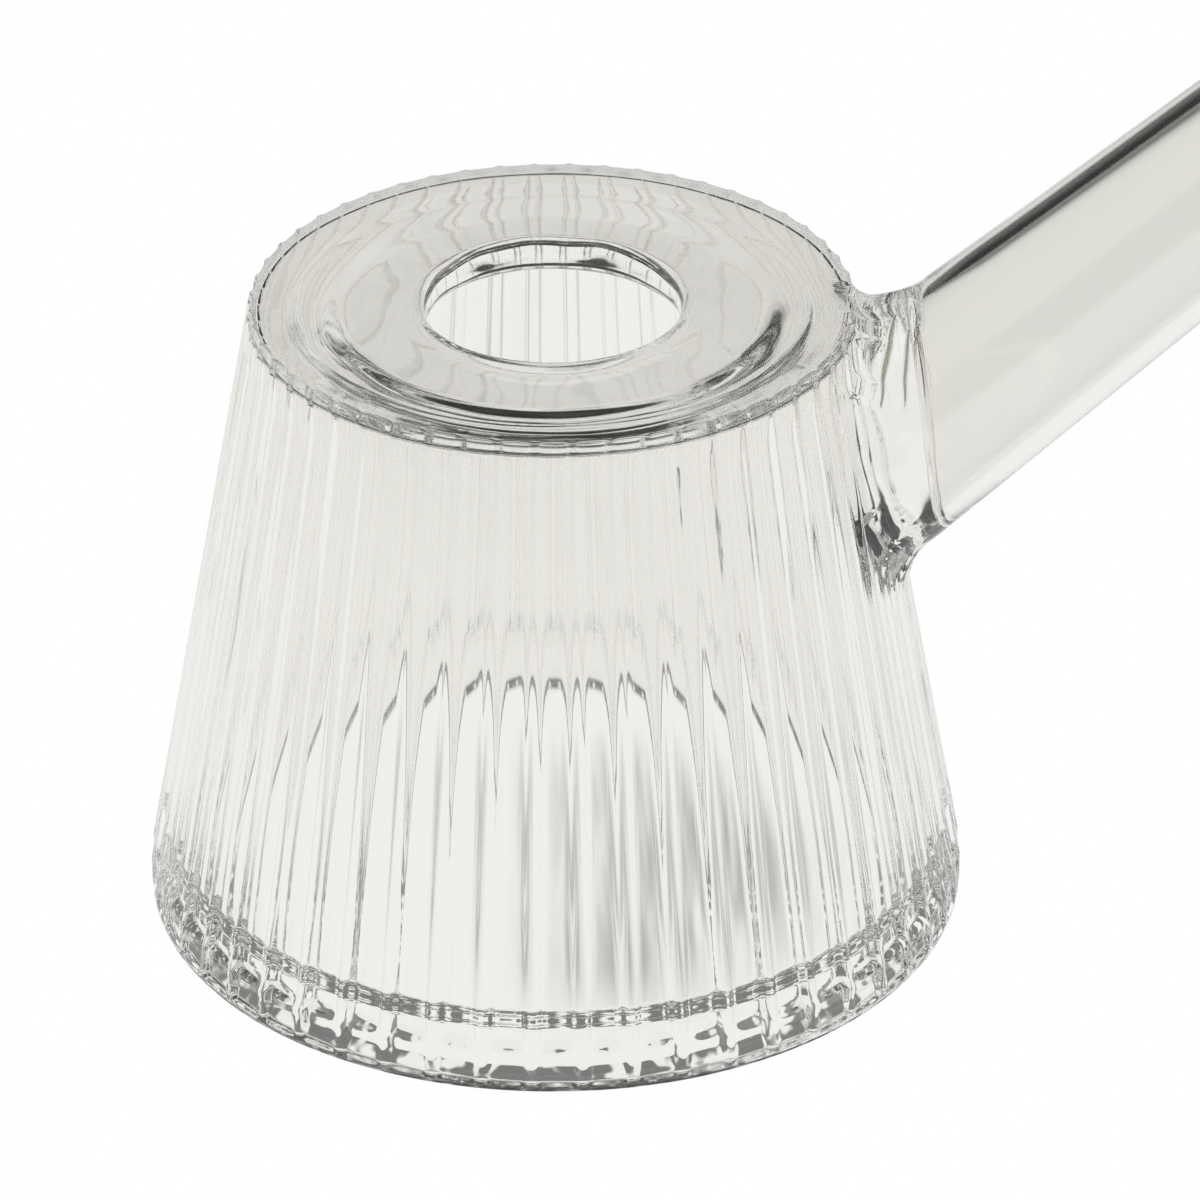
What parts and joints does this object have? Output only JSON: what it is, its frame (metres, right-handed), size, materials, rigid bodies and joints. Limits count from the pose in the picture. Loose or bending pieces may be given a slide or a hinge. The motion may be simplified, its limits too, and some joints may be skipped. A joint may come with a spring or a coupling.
{
  "type": "pour over dripper",
  "caption": "Clear fluted glass pour over cone with a flat outlet end and central hole, standing on its open mouth, with a hollow glass handle rising from its side.",
  "frame": {"origin": "centre of the open mouth, in the plane that the mouth's lip stands on", "axes": "+Z from the mouth towards the outlet face, up as it stands here and down in use; +X towards the handle; +Y across"},
  "size_m": [0.1743, 0.102, 0.1362],
  "materials": {
    "clear_glass": "clear, fire-polished, smooth"
  },
  "bodies": {
    "root": {"mouth_rim": "clear_glass", "fluted_wall": "clear_glass", "outlet_shoulder": "clear_glass", "outlet_floor": "clear_glass", "outlet_lip": "clear_glass", "handle_weld": "clear_glass", "handle_tube": "clear_glass", "handle_end": "clear_glass"}
  },
  "joints": []
}
